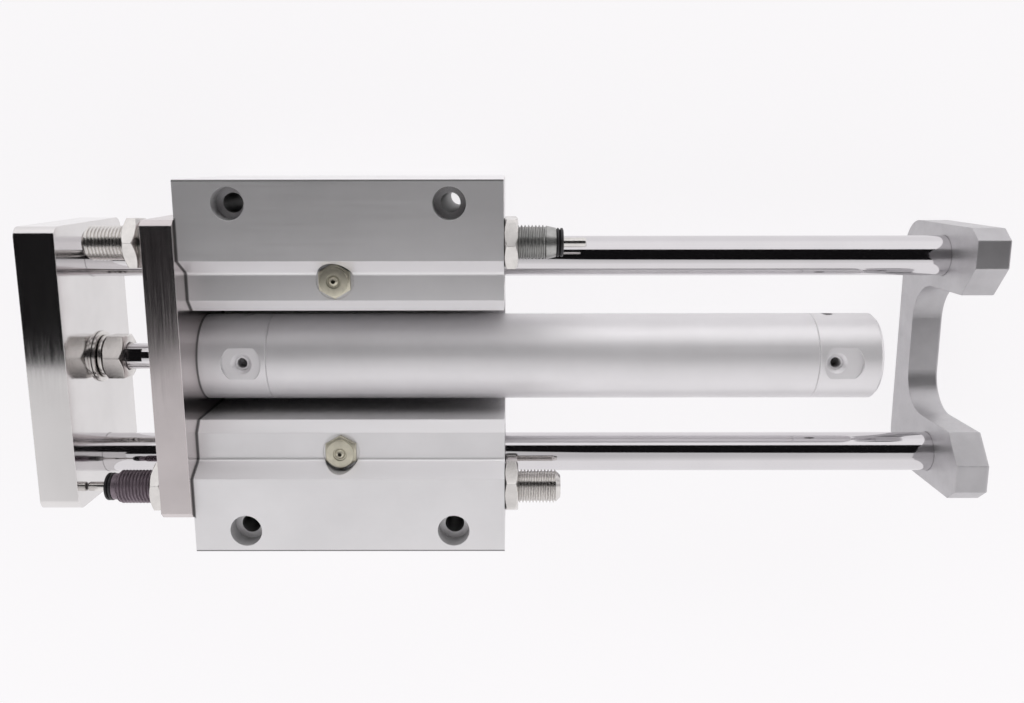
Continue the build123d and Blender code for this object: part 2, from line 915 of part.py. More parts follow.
def front_plunger():
    """Plunger that the front plate has already pushed part of the way in."""
    tip = front_inner + rest_gap
    pushed_in = rear_plunger_reach - (front_absorber_tip() - tip)
    return plunger(tip, front_absorber_tip(), pushed_in, -stop_y)


def rear_plunger():
    tip = rear_absorber_tip() + rear_plunger_reach
    return plunger(tip, rear_absorber_tip(), rest_gap, stop_y)


nodes = {
    "guide_body": guide_body,
    "front_guide_bushes": front_guide_bushes,
    "rear_guide_bushes": rear_guide_bushes,
    "rod_wipers": rod_wipers,
    "grease_felts": grease_felts,
    "grease_nipples": grease_nipples,
    "front_flange": front_flange,
    "flange_screws": flange_screws,
    "cylinder_screws": cylinder_screws,
    "rod_cover": rod_cover,
    "cylinder_tube": cylinder_tube,
    "head_cover": head_cover,
    "tube_gaskets": tube_gaskets,
    "piston_bumpers": piston_bumpers,
    "rod_bush": rod_bush,
    "rod_seal": rod_seal,
    "seal_ring": seal_ring,
    "front_plate": front_plate,
    "rear_plate": rear_plate,
    "front_plate_screws": front_plate_screws,
    "rear_plate_screws": rear_plate_screws,
    "upper_guide_rod": lambda: guide_rod(1),
    "lower_guide_rod": lambda: guide_rod(-1),
    "piston_rod": piston_rod,
    "rod_nut": rod_nut,
    "rod_front_nut": rod_front_nut,
    "flat_washer": flat_washer,
    "spring_washer": spring_washer,
    "piston": piston,
    "piston_seal": piston_seal,
    "wear_ring": wear_ring,
    "front_adjusting_bolt": front_adjusting_bolt,
    "front_bolt_nut": front_bolt_nut,
    "rear_adjusting_bolt": rear_adjusting_bolt,
    "rear_bolt_nut": rear_bolt_nut,
    "front_absorber_body": front_absorber_body,
    "front_absorber_cap": front_absorber_cap,
    "front_absorber_nut": front_absorber_nut,
    "rear_absorber_body": rear_absorber_body,
    "rear_absorber_cap": rear_absorber_cap,
    "rear_absorber_nut": rear_absorber_nut,
    "front_plunger": front_plunger,
    "rear_plunger": rear_plunger,
}

os.makedirs("parts", exist_ok=True)
for name, make in nodes.items():
    made = make()
    pieces = made if isinstance(made, list) else [made]
    solids = [solid for piece in pieces for solid in piece.solids()]
    shape = solids[0] if len(solids) == 1 else Compound(children=solids)
    export_step(shape, f"parts/{name}.step")
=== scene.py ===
import json
import math
import bpy
import numpy as np
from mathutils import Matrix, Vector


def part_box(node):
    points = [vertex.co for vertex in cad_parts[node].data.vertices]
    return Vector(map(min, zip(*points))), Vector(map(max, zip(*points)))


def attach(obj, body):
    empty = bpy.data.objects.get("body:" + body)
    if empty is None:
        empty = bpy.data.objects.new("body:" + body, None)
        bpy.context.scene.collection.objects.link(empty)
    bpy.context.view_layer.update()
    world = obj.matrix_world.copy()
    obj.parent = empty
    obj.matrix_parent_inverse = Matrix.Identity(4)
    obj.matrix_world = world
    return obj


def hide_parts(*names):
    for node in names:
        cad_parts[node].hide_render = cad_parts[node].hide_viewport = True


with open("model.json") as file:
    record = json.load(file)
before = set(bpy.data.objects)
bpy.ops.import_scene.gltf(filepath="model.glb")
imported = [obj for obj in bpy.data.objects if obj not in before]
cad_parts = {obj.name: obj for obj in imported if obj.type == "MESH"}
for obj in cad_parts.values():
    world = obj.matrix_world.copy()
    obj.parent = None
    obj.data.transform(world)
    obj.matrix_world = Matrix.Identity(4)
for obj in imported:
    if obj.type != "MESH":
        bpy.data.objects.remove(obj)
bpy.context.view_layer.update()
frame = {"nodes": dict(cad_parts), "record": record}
nodes = frame["nodes"]
mm = 0.001
print("frame loaded:", len(nodes), "nodes")


# Node helpers

def emptyTree(holder):
    # clears a material's or a world's nodes and hands back its tree
    holder.use_nodes = True
    holder.node_tree.nodes.clear()
    return holder.node_tree


def addNode(tree, kind, values=None, links=None, **settings):
    # values go on the node's own sockets; links join other nodes' sockets to them
    node = tree.nodes.new(kind)
    for key, value in settings.items():
        setattr(node, key, value)
    for key, value in (values or {}).items():
        node.inputs[key].default_value = value
    for key, source in (links or {}).items():
        tree.links.new(source, node.inputs[key])
    return node


def mapRange(tree, source, low, high, toLow=0, toHigh=1):
    # goes from toLow to toHigh as the source goes from low to high, and no further
    values = {1: low, 2: high, 3: toLow, 4: toHigh}
    return addNode(tree, "ShaderNodeMapRange", values, {0: source}).outputs[0]


def calculate(tree, operation, *sources, **settings):
    # one Math node; sources are the sockets that it works on
    links = dict(enumerate(sources))
    return addNode(tree, "ShaderNodeMath", None, links, operation=operation, **settings).outputs[0]


def splitAxes(tree, vector):
    return addNode(tree, "ShaderNodeSeparateXYZ", None, {0: vector}).outputs


def mixColour(tree, share, low, high):
    # each colour is four numbers or a socket
    node = addNode(tree, "ShaderNodeMix", None, {0: share}, data_type="RGBA")
    for key, colour in ((6, low), (7, high)):
        if isinstance(colour, tuple):
            node.inputs[key].default_value = colour
        else:
            tree.links.new(colour, node.inputs[key])
    return node.outputs[2]


def shade(colour, factor):
    # the same colour brighter or darker, as four numbers
    return tuple(min(1.0, c * factor) for c in colour[:3]) + (1.0,)


# Finishes, one entry per material slot
# colour, metallic, roughness: the clean surface
# grain: features per metre along X, Y and Z; few along one axis draw it out into ground or rolled lines
# grainRough, grainDepth: how far the grain sways the roughness, and its depth in millimetres
# blotch, blotchAmount: patches per metre in which the colour drifts, and how far it drifts
# edge, edgeWearAndSheen: how wide the worn edges are in millimetres, and how much brighter they are painted,
# partly for wear and partly as a painted highlight
# crevice: how wide, in millimetres, the painted shade beside a joint reaches
# slantLightLift: how much brighter the milled slants are painted, a painted highlight for the light that falls
# on them
# seam: how wide, in millimetres, the oil and dirt beside the flange are
# rim: how much of the colour the long outer edges keep under their painted shade

finishes = {
    "anodised_body": dict(
        colour=(0.84, 0.83, 0.84), metallic=0.66, roughness=0.40, grain=(26, 2400, 2400), grainRough=0.05,
        grainDepth=0.0012, blotch=45, blotchAmount=0.04, edge=0.15, edgeWearAndSheen=1.06, shadeReach=14.0,
        shut=0.05, clear=0.28, shadeKeeps=0.1, slantLightLift=1.09, seam=0.65, rim=0.22),
    "anodised_cylinder": dict(
        colour=(0.88, 0.865, 0.88), metallic=0.5, roughness=0.46, grain=(16, 1800, 1800), grainRough=0.05,
        grainDepth=0.0010, blotch=60, blotchAmount=0.03, edge=0.25, edgeWearAndSheen=1.06, shadeReach=4.5, shadeKeeps=0.5,
        seam=0.45),
    "brushed_nickel": dict(
        colour=(0.635, 0.59, 0.59), metallic=1.0, roughness=0.22, grain=(2600, 60, 60), grainRough=0.05,
        grainDepth=0.0005, blotch=70, blotchAmount=0.05, edge=0.3, edgeWearAndSheen=1.2, shadeReach=1.2),
    "mirror_nickel": dict(
        colour=(0.74, 0.725, 0.72), metallic=1.0, roughness=0.12, grain=(1500, 90, 90), grainRough=0.03,
        grainDepth=0.0002, blotch=50, blotchAmount=0.04, edge=0.3, edgeWearAndSheen=1.15, shadeReach=0.8),
    "hard_chrome": dict(
        colour=(0.69, 0.675, 0.69), metallic=1.0, roughness=0.07, grain=(2600, 120, 120), grainRough=0.02,
        grainDepth=0.0003, blotch=40, blotchAmount=0.03, edge=0.15, edgeWearAndSheen=1.05, shadeReach=0.8),
    "silver_paint": dict(
        colour=(0.52, 0.51, 0.525), metallic=0.68, roughness=0.36, grain=(1300, 1300, 1300),
        grainRough=0.06, grainDepth=0.012, blotch=120, blotchAmount=0.07, edge=0.5, edgeWearAndSheen=1.1,
        shadeReach=1.5),
    "zinc_steel": dict(
        colour=(0.72, 0.70, 0.68), metallic=1.0, roughness=0.22, grain=(2600, 2600, 2600),
        grainRough=0.05, grainDepth=0.0004, blotch=260, blotchAmount=0.07, edge=0.2, edgeWearAndSheen=1.15,
        shadeReach=0.7),
    "black_screw": dict(
        colour=(0.045, 0.045, 0.048), metallic=0.85, roughness=0.38, grain=(1500, 1500, 1500),
        grainRough=0.08, grainDepth=0.002, blotch=300, blotchAmount=0.3, edge=0.15, edgeWearAndSheen=1.8,
        shadeReach=0.6),
    "nipple_brass": dict(
        colour=(0.63, 0.60, 0.49), metallic=0.8, roughness=0.38, grain=(1800, 1800, 1800),
        grainRough=0.05, grainDepth=0.0003, blotch=500, blotchAmount=0.1, edge=0.12, edgeWearAndSheen=1.15,
        shadeReach=2.2),
    "front_absorber_brown": dict(
        colour=(0.25, 0.205, 0.235), metallic=0.7, roughness=0.48, grain=(1500, 1500, 1500),
        grainRough=0.08, grainDepth=0.001, blotch=300, blotchAmount=0.2, edge=0.08, edgeWearAndSheen=1.5,
        shadeReach=0.6),
    "rear_absorber_grey": dict(
        colour=(0.42, 0.42, 0.41), metallic=0.85, roughness=0.34, grain=(1500, 1500, 1500),
        grainRough=0.08, grainDepth=0.001, blotch=300, blotchAmount=0.16, edge=0.08, edgeWearAndSheen=1.3,
        shadeReach=0.6),
    "absorber_cap_black": dict(
        colour=(0.035, 0.034, 0.036), metallic=0.4, roughness=0.42, grain=(1200, 1200, 1200),
        grainRough=0.08, grainDepth=0.002, blotch=400, blotchAmount=0.25, edge=0.1, edgeWearAndSheen=2.2,
        shadeReach=0.6),
    "bronze": dict(
        colour=(0.62, 0.42, 0.22), metallic=1.0, roughness=0.38, grain=(900, 900, 900), grainRough=0.1,
        grainDepth=0.004, blotch=300, blotchAmount=0.2, edge=0.15, edgeWearAndSheen=1.15, shadeReach=0.6),
    "seal_rubber": dict(
        colour=(0.028, 0.028, 0.03), metallic=0.0, roughness=0.62, grain=(1200, 1200, 1200),
        grainRough=0.1, grainDepth=0.006, blotch=300, blotchAmount=0.25, edge=0.1, edgeWearAndSheen=1.3,
        shadeReach=0.6),
    "felt": dict(
        colour=(0.52, 0.48, 0.40), metallic=0.0, roughness=0.92, grain=(1500, 1500, 1500),
        grainRough=0.06, grainDepth=0.05, blotch=500, blotchAmount=0.3, edge=0.2, edgeWearAndSheen=1.05,
        shadeReach=0.6),
    "wear_resin": dict(
        colour=(0.22, 0.13, 0.075), metallic=0.0, roughness=0.48, grain=(900, 900, 900), grainRough=0.08,
        grainDepth=0.004, blotch=250, blotchAmount=0.2, edge=0.1, edgeWearAndSheen=1.15, shadeReach=0.6),
    "piston_aluminium": dict(
        colour=(0.76, 0.76, 0.77), metallic=1.0, roughness=0.32, grain=(2200, 150, 150), grainRough=0.08,
        grainDepth=0.003, blotch=120, blotchAmount=0.08, edge=0.15, edgeWearAndSheen=1.1, shadeReach=0.6),
}

# what all finishes share, unless their own entry says otherwise
# shut, clear, dirt: the share of open air at which the painted shade is full and at which it ends, and how
# much of the colour it leaves
# noise: the part of a noise's range that is used
# wear: cosine of the edge's turn where the brightening of worn edges, wear and painted highlight together,
# starts and where it is full
usualFinish = dict(shut=0.15, clear=0.55, shadeKeeps=0.28, grainDetail=3.0, grainGain=0.6, blotchDetail=4.0,
                   blotchGain=0.55, noise=(0.3, 0.7), wear=(0.995, 0.93), samples=4)
slantLook = dict(start=0.1, full=0.3)  # product of the normal's Y and Z
seamLook = dict(full=0.5, keeps=0.18)  # share of its width that is fully dark, and what it keeps of the colour
rimShadeLook = dict(side=(0.62, 0.54), top=(0.32, 0.26))  # millimetres in from the side and from the top
bodyLow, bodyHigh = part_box("guide_body")
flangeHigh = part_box("front_flange")[1]


def noiseGrain(tree, scale, detail, gain, vector):
    values = {"Scale": scale, "Detail": detail, "Roughness": gain}
    return addNode(tree, "ShaderNodeTexNoise", values, {"Vector": vector}).outputs[0]


def slantLightColour(tree, flat, tint, look):
    # painted light: milled slants, whose normal has both a Y and a Z share, are painted brighter than the
    # extruded faces
    facing = splitAxes(tree, flat)
    slant = calculate(tree, "ABSOLUTE", calculate(tree, "MULTIPLY", facing["Y"], facing["Z"]))
    share = mapRange(tree, slant, slantLook["start"], slantLook["full"])
    return mixColour(tree, share, tint, shade(look["colour"], look["slantLightLift"]))


def seamColour(tree, place, wornAndSheen, look):
    # oil and dirt darken the edge along the joint, as far as the flange reaches to each side
    axes = splitAxes(tree, place)
    seam = look["seam"] * mm
    behind = mapRange(tree, axes["X"], bodyLow[0] + seamLook["full"] * seam, bodyLow[0] + seam)
    aside = calculate(tree, "ABSOLUTE", axes["Y"])
    beside = mapRange(tree, aside, flangeHigh[1], flangeHigh[1] + seam)
    away = calculate(tree, "MAXIMUM", behind, beside)
    return mixColour(tree, away, shade(look["colour"], seamLook["keeps"]), wornAndSheen)


def rimShadeColour(tree, place, wornAndSheen, look):
    # painted shade: the chamfers along the two long outer edges of the body's top are painted as dark lines
    axes = splitAxes(tree, place)
    aside = calculate(tree, "ABSOLUTE", axes["Y"])
    outward = mapRange(tree, aside, *(bodyHigh[1] - inset * mm for inset in rimShadeLook["side"]))
    upward = mapRange(tree, axes["Z"], *(bodyHigh[2] - inset * mm for inset in rimShadeLook["top"]))
    rim = calculate(tree, "MULTIPLY", outward, upward)
    return mixColour(tree, rim, wornAndSheen, shade(look["colour"], look["rim"]))


def finishMaterial(name, entry):
    # roughness and bump follow a drawn-out grain; the colour drifts with a slow blotch, lifts along worn
    # edges, partly wear and partly a painted highlight, takes painted light on milled slants and painted shade
    # on the long outer edges, and darkens with painted shade where ambient occlusion finds little open air
    look = {**usualFinish, **entry}
    base, samples = look["colour"], look["samples"]
    material = bpy.data.materials.new(name)
    tree = emptyTree(material)
    place = addNode(tree, "ShaderNodeTexCoord").outputs["Object"]
    stretched = addNode(tree, "ShaderNodeMapping", {"Scale": look["grain"]}, {"Vector": place}).outputs[0]
    grain = noiseGrain(tree, 1.0, look["grainDetail"], look["grainGain"], stretched)
    blotch = noiseGrain(tree, look["blotch"], look["blotchDetail"], look["blotchGain"], place)
    amount = look["blotchAmount"]
    drift = mapRange(tree, blotch, *look["noise"])
    tint = mixColour(tree, drift, shade(base, 1 - amount), shade(base, 1 + amount))
    rounded = addNode(tree, "ShaderNodeBevel", {"Radius": look["edge"] * mm}, samples=samples).outputs[0]
    flat = addNode(tree, "ShaderNodeNewGeometry").outputs["Normal"]
    # painted light on the milled slants
    if "slantLightLift" in look:
        tint = slantLightColour(tree, flat, tint, look)
    # worn edges, partly wear and partly a painted highlight: the colour is brighter where the rounded normal
    # turns away from the flat one
    turn = addNode(tree, "ShaderNodeVectorMath", None, {0: rounded, 1: flat}, operation="DOT_PRODUCT")
    edgeShare = mapRange(tree, turn.outputs["Value"], *look["wear"])
    wornAndSheen = mixColour(tree, edgeShare, tint, shade(base, look["edgeWearAndSheen"]))
    if "seam" in look:
        wornAndSheen = seamColour(tree, place, wornAndSheen, look)
    # painted shade along the body's long outer edges
    if "rim" in look:
        wornAndSheen = rimShadeColour(tree, place, wornAndSheen, look)
    # painted shade: the colour darkens where ambient occlusion finds little open air close by
    reach = {"Distance": look["shadeReach"] * mm}
    openAir = addNode(tree, "ShaderNodeAmbientOcclusion", reach, samples=samples).outputs["AO"]
    unshaded = mapRange(tree, openAir, look["shut"], look["clear"])
    colour = mixColour(tree, unshaded, shade(base, look["shadeKeeps"]), wornAndSheen)
    middle, spread = look["roughness"], look["grainRough"]
    rough = mapRange(tree, grain, *look["noise"], middle - spread, middle + spread)
    bump = addNode(tree, "ShaderNodeBump", {"Strength": 1.0, "Distance": look["grainDepth"] * mm},
                   {"Height": grain, "Normal": rounded}).outputs[0]
    shader = addNode(tree, "ShaderNodeBsdfPrincipled", {"Metallic": look["metallic"]},
                     {"Base Color": colour, "Roughness": rough, "Normal": bump}).outputs[0]
    addNode(tree, "ShaderNodeOutputMaterial", None, {"Surface": shader})
    return material


materials = {slot: finishMaterial(slot, look) for slot, look in finishes.items()}


def dress(obj, slot):
    # one finish all over a piece or a CAD node
    obj.data.materials.clear()
    obj.data.materials.append(materials[slot])


nodeSlots = {name: obj.data.materials[0].name.split(".")[0] for name, obj in nodes.items()}
for name, obj in nodes.items():
    dress(obj, nodeSlots[name])
print("finishes on the nodes:", sorted(set(nodeSlots.values())))


# Grids of rings that the turned pieces share, in millimetres

columns = 96
around = np.arange(columns) * 2 * np.pi / columns
pitchRings, coneRings = 10, 8  # rings per turn of a thread, and where a cone cuts a hexagon
threadShape = dict(depth=0.613, crest=0.125, flank=0.625)  # depth per pitch, crest and flank per half pitch
cornerSlope = math.tan(math.radians(30))  # the cone that turns off a hexagon's corners
sharpAngle = math.radians(32)  # faces that meet at more than this stay sharp


def span(node):
    # lowest and highest corner of a CAD node
    return [np.array(corner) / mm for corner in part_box(node)]


def hexReach(flats, turn):
    # from a hexagon's middle to its side: half the width across flats, over the cosine of the angle to the
    # middle of the nearest flat; turn is where one corner lies, in degrees
    return flats / 2 / np.cos((around - math.radians(turn)) % (np.pi / 3) - np.pi / 6)


def threadGroove(along, pitch):
    # depth below the crest: none on a flat crest, straight flanks, then a flat root; the crest moves on by one
    # pitch per turn
    fromCrest = np.abs(2 * ((along / pitch - around / (2 * np.pi)) % 1) - 1)
    flank = (fromCrest - threadShape["crest"]) / threadShape["flank"]
    return threadShape["depth"] * pitch * np.clip(flank, 0, 1)


def ringRadius(along, radius, kind, look):
    # the radius at each column; kind says what the ring follows besides its own radius
    if kind == "thread":
        return np.minimum(radius, look["major"] - threadGroove(along, look["pitch"]))
    if kind == "tap":
        return np.full(columns, radius) - threadGroove(along, look["pitch"])
    if kind == "hex":
        return np.minimum(radius, hexReach(look["flats"], look["turn"]))
    if kind == "socket":
        return np.maximum(radius, hexReach(look["socket"], 0))
    return np.full(columns, radius)


def ringCount(start, end, look):
    # rings needed between two stations: many along a thread, some where a cone cuts a hexagon
    if start[2] != end[2] or start[:2] == end[:2]:
        return 1
    if start[2] in ("thread", "tap"):
        return max(1, round(abs(end[0] - start[0]) / look["pitch"] * pitchRings))
    return coneRings if start[2] == "hex" and start[1] != end[1] else 1


def addMesh(name, vertices, faces):
    mesh = bpy.data.meshes.new(name)
    mesh.from_pydata((vertices * mm).tolist(), [], faces)
    mesh.shade_smooth()
    mesh.set_sharp_from_angle(angle=sharpAngle)
    obj = bpy.data.objects.new(name, mesh)
    bpy.context.scene.collection.objects.link(obj)
    return obj


def gridPiece(name, points, poles):
    # points is (rings, columns, 3). Each ring closes on itself. With poles the first and the last ring are one
    # point each, without them the last ring joins the first
    rings, sides = points.shape[:2]
    if poles:
        vertices = np.concatenate((points[:1, 0], points[1:-1].reshape(-1, 3), points[-1:, 0]))
        inner = 1 + np.arange((rings - 2) * sides).reshape(rings - 2, sides)
        near, far = inner[:-1], inner[1:]
        top = np.full(sides, len(vertices) - 1)
        fans = np.concatenate((np.stack((0 * top, np.roll(inner[0], -1), inner[0]), axis=1),
                               np.stack((top, inner[-1], np.roll(inner[-1], -1)), axis=1)))
    else:
        vertices = points.reshape(-1, 3)
        near = np.arange(rings * sides).reshape(rings, sides)
        far = np.roll(near, -1, axis=0)
        fans = np.zeros((0, 3), int)
    quads = np.stack((near, np.roll(near, -1, axis=1), np.roll(far, -1, axis=1), far), axis=-1)
    quads = quads.reshape(-1, 4)
    a, b, c, d = (vertices[quads[:, i]] - vertices.mean(axis=0) for i in range(4))
    volume = np.sum(a * np.cross(b, c)) + np.sum(a * np.cross(c, d))
    if volume < 0:  # its faces point inwards
        quads, fans = quads[:, ::-1], fans[:, ::-1]
    return addMesh(name, vertices, quads.tolist() + fans.tolist())


def turnedPiece(name, profile, look, centre, poles, axis="x"):
    # profile is a list of (place along the axis, radius, kind); centre is the axis's place across it
    along, radii = [], []
    ends = profile[1:] if poles else profile[1:] + profile[:1]
    for start, end in zip(profile, ends):
        count = ringCount(start, end, look)
        for step in range(count):
            share = step / count
            place = start[0] + (end[0] - start[0]) * share
            along.append(place)
            radii.append(ringRadius(place, start[1] + (end[1] - start[1]) * share, start[2], look))
    if poles:
        along.append(profile[-1][0])
        radii.append(np.zeros(columns))
    along, radii = np.array(along)[:, None] + 0 * around, np.array(radii)
    first, second = centre[0] + radii * np.cos(around), centre[1] + radii * np.sin(around)
    points = (along, first, second) if axis == "x" else (first, second, along)
    return gridPiece(name, np.stack(points, axis=-1), poles)


def fit(piece, slot, body, *replaced):
    # finish, body and the CAD nodes that a finished piece stands for
    dress(piece, slot)
    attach(piece, body)
    if replaced:
        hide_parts(*replaced)


# Stops: threaded bolts, absorbers and their lock nuts

boltLook = dict(pitch=1.0, tip=1.6, socket=5.0, socketDepth=5.0, socketCone=1.2, mouth=2.95, end=0.6)


def stopEnds(node):
    # outer end, direction into the body, length, axis and radius of a stop's CAD node
    low, high = span(node)
    front = low[0] + high[0] < 0
    outer = low[0] if front else high[0]
    middle = (low + high) / 2
    return outer, 1 if front else -1, high[0] - low[0], middle[1:], (high[1] - low[1]) / 2


def adjustingBolt(node, look):
    # a rod with an outside thread, a coned tip and a hexagon socket sunk into that tip
    outer, into, length, axis, radius = stopEnds(node)
    steps = [
        (look["socketDepth"] + look["socketCone"], 0, "round"),
        (look["socketDepth"], look["socket"] / 2, "socket"),
        (look["mouth"] - look["socket"] / 2, look["socket"] / 2, "socket"),
        (0, look["mouth"], "socket"),
        (0, radius - look["tip"], "thread"),
        (look["tip"], radius, "thread"),
        (length - look["end"], radius, "thread"),
        (length, radius - look["end"], "thread"),
        (length, 0, "round"),
    ]
    profile = [(outer + into * s, r, kind) for s, r, kind in steps]
    return turnedPiece(node + "_threaded", profile, dict(look, major=radius), axis, True)


for name in ("front_adjusting_bolt", "rear_adjusting_bolt"):
    fit(adjustingBolt(name, boltLook), "zinc_steel", "guide_unit", name)

absorberLook = dict(pitch=1.0, bore=3.4, wall=3.0, end=0.5, shoulder=0.75)
neckLooks = {"front_absorber_body": dict(length=1.5, start=3.9, end=3.9, thread=4.2),
             "rear_absorber_body": dict(length=2.8, start=4.1, end=4.75, thread=4.35)}


def absorberBody(node, look, neck):
    # a threaded tube with a plain neck, open towards its cap and closed at its inner end
    outer, into, length, axis, radius = stopEnds(node)
    steps = [
        (length - look["wall"], 0, "round"),
        (length - look["wall"], look["bore"], "round"),
        (0, look["bore"], "round"),
        (0, neck["start"], "round"),
        (neck["length"], neck["end"], "round"),
        (neck["length"], neck["thread"], "thread"),
        (neck["length"] + look["shoulder"], radius, "thread"),
        (length - look["end"], radius, "thread"),
        (length, radius - look["end"], "thread"),
        (length, 0, "round"),
    ]
    profile = [(outer + into * s, r, kind) for s, r, kind in steps]
    return turnedPiece(node + "_threaded", profile, dict(look, major=radius), axis, True)


for name, neck in neckLooks.items():
    fit(absorberBody(name, absorberLook, neck), nodeSlots[name], "guide_unit", name)

capLook = dict(hole=1.43, face=3.6, rim=0.35, swell=0.12, waist=3.55, waistWidth=0.3)


def absorberCap(node, look):
    # a ring with two rounded rims and a waist between them
    outer, into, length, axis, radius = stopEnds(node)
    middle = length / 2
    steps = [
        (0, look["hole"], "round"),
        (0, look["face"], "round"),
        (look["rim"] / 2, radius - look["swell"], "round"),
        (look["rim"], radius, "round"),
        (middle - look["waistWidth"], radius, "round"),
        (middle, look["waist"], "round"),
        (middle + look["waistWidth"], radius, "round"),
        (length - look["rim"], radius, "round"),
        (length, look["face"], "round"),
        (length, look["hole"], "round"),
    ]
    profile = [(outer + into * s, r, kind) for s, r, kind in steps]
    return turnedPiece(node + "_ring", profile, look, axis, False)


for name in ("front_absorber_cap", "rear_absorber_cap"):
    fit(absorberCap(name, capLook), "absorber_cap_black", "guide_unit", name)

plungerLook = dict(rod=1.4, tip=0.5, tipRings=7, piston=3.1, pistonLength=4.0, edge=0.4)


def plungerPiece(node, look):
    # a polished pin with a domed tip, a quarter circle from the axis to its side, and its oil piston
    outer, into, length, axis, radius = stopEnds(node)
    dome = np.linspace(0, np.pi / 2, look["tipRings"])
    steps = [(0, 0, "round")]
    steps += [(look["tip"] * (1 - math.sin(a)), look["rod"] - look["tip"] * (1 - math.cos(a)), "round")
              for a in reversed(dome)]
    shoulder = length - look["pistonLength"]
    steps += [
        (shoulder, look["rod"], "round"),
        (shoulder, look["piston"] - look["edge"], "round"),
        (shoulder + look["edge"], look["piston"], "round"),
        (length - look["edge"], look["piston"], "round"),
        (length, look["piston"] - look["edge"], "round"),
        (length, 0, "round"),
    ]
    profile = [(outer + into * s, r, kind) for s, r, kind in steps]
    return turnedPiece(node + "_pin", profile, look, axis, True)


for name in ("front_plunger", "rear_plunger"):
    fit(plungerPiece(name, plungerLook), "zinc_steel", name, name)


# Nuts and washers

nutLooks = {
    "front_bolt_nut": dict(flats=14.0, turn=26, bore=5.0, on="front_adjusting_bolt"),
    "front_absorber_nut": dict(flats=14.0, turn=11, bore=5.0, on="front_absorber_body"),
    "rear_absorber_nut": dict(flats=14.0, turn=34, bore=5.0, on="rear_absorber_body"),
    "rear_bolt_nut": dict(flats=14.0, turn=7, bore=5.0, on="rear_adjusting_bolt"),
    "rod_nut": dict(flats=13.0, turn=26, bore=4.02, on="flat_washer"),
    "rod_front_nut": dict(flats=13.0, turn=0, bore=4.02, on="flat_washer"),
}
nutShape = dict(face=0.95, mouth=0.5)  # a face's radius as a share of half the flats; cone of the bore's mouth


def nutPiece(node, look):
    # a hexagon whose corners a 30 degree cone turns off at both faces, with a coned mouth at each end of its
    # bore; it sits on the axis of the piece that "on" names
    low, high = span(node)
    axis = sum(span(look["on"]))[1:] / 2
    corner = look["flats"] / math.sqrt(3)
    face = look["flats"] / 2 * nutShape["face"]
    slope = (corner - face) * cornerSlope
    mouth = nutShape["mouth"]
    profile = [
        (low[0], look["bore"] + mouth, "round"),
        (low[0], face, "hex"),
        (low[0] + slope, corner, "hex"),
        (high[0] - slope, corner, "hex"),
        (high[0], face, "hex"),
        (high[0], look["bore"] + mouth, "round"),
        (high[0] - mouth, look["bore"], "round"),
        (low[0] + mouth, look["bore"], "round"),
    ]
    return turnedPiece(node + "_turned", profile, look, axis, False)


for name, look in nutLooks.items():
    body = "moving_frame" if name.startswith("rod") else "guide_unit"
    fit(nutPiece(name, look), "zinc_steel", body, name)

washerLook = dict(bore=4.02, edge=0.18)


def washerPiece(node, look):
    # a punched disc, its rims rolled over
    low, high = span(node)
    radius = (high[1] - low[1]) / 2
    edge = look["edge"]
    profile = [
        (low[0], look["bore"] + edge, "round"),
        (low[0], radius - edge, "round"),
        (low[0] + edge, radius, "round"),
        (high[0] - edge, radius, "round"),
        (high[0], radius - edge, "round"),
        (high[0], look["bore"] + edge, "round"),
        (high[0] - edge, look["bore"], "round"),
        (low[0] + edge, look["bore"], "round"),
    ]
    return turnedPiece(node + "_turned", profile, look, (low + high)[1:] / 2, False)


fit(washerPiece("flat_washer", washerLook), "zinc_steel", "moving_frame", "flat_washer")

springLook = dict(bore=4.04, outer=6.6, slit=7.0, climb=0.14, roundness=5.0, sections=120, sides=24)


def springWasher(node, look):
    # a section like a rounded rectangle, a circle with its powers raised, goes round the rod from one side of
    # the slit to the other and climbs a little on its way
    low, high = span(node)
    axis = sum(span("flat_washer"))[1:] / 2
    turn = np.radians(180 + np.linspace(look["slit"], 360 - look["slit"], look["sections"]))[:, None]
    side = np.linspace(0, 2 * np.pi, look["sides"], endpoint=False)[None, :]
    power = 2 / look["roundness"]
    across = np.sign(np.cos(side)) * np.abs(np.cos(side)) ** power
    along = np.sign(np.sin(side)) * np.abs(np.sin(side)) ** power
    halfThick = (high[0] - low[0]) / 2 - look["climb"]
    radius = (look["outer"] + look["bore"]) / 2 + across * (look["outer"] - look["bore"]) / 2
    climb = look["climb"] * np.linspace(-1, 1, look["sections"])[:, None]
    x = (low[0] + high[0]) / 2 + climb + along * halfThick
    points = np.stack((x, axis[0] + radius * np.cos(turn), axis[1] + radius * np.sin(turn)), axis=-1)
    caps = [np.repeat(ring.mean(axis=1, keepdims=True), look["sides"], axis=1)
            for ring in (points[:1], points[-1:])]
    return gridPiece(node + "_split", np.concatenate((caps[0], points, caps[1])), True)


fit(springWasher("spring_washer", springLook), "zinc_steel", "moving_frame", "spring_washer")
print("stops, nuts and washers made")


# Grease nipples and port threads

nippleLook = dict(flats=9.0, turn=30, shank=2.95, shankLength=5.0, taper=0.4, seat=47.2, foot=0.25,
                  footTop=0.15, hexTop=1.5, face=4.0, lip=0.01, disc=4.1, discTop=2.64, discRound=0.14,
                  discCut=0.04, ballHeight=1.6, ball=1.68, ballRings=12, moat=0.5, moatDepth=0.36,
                  moatSlant=0.1, hole=0.6, holeDepth=2.2, holeCone=0.2)


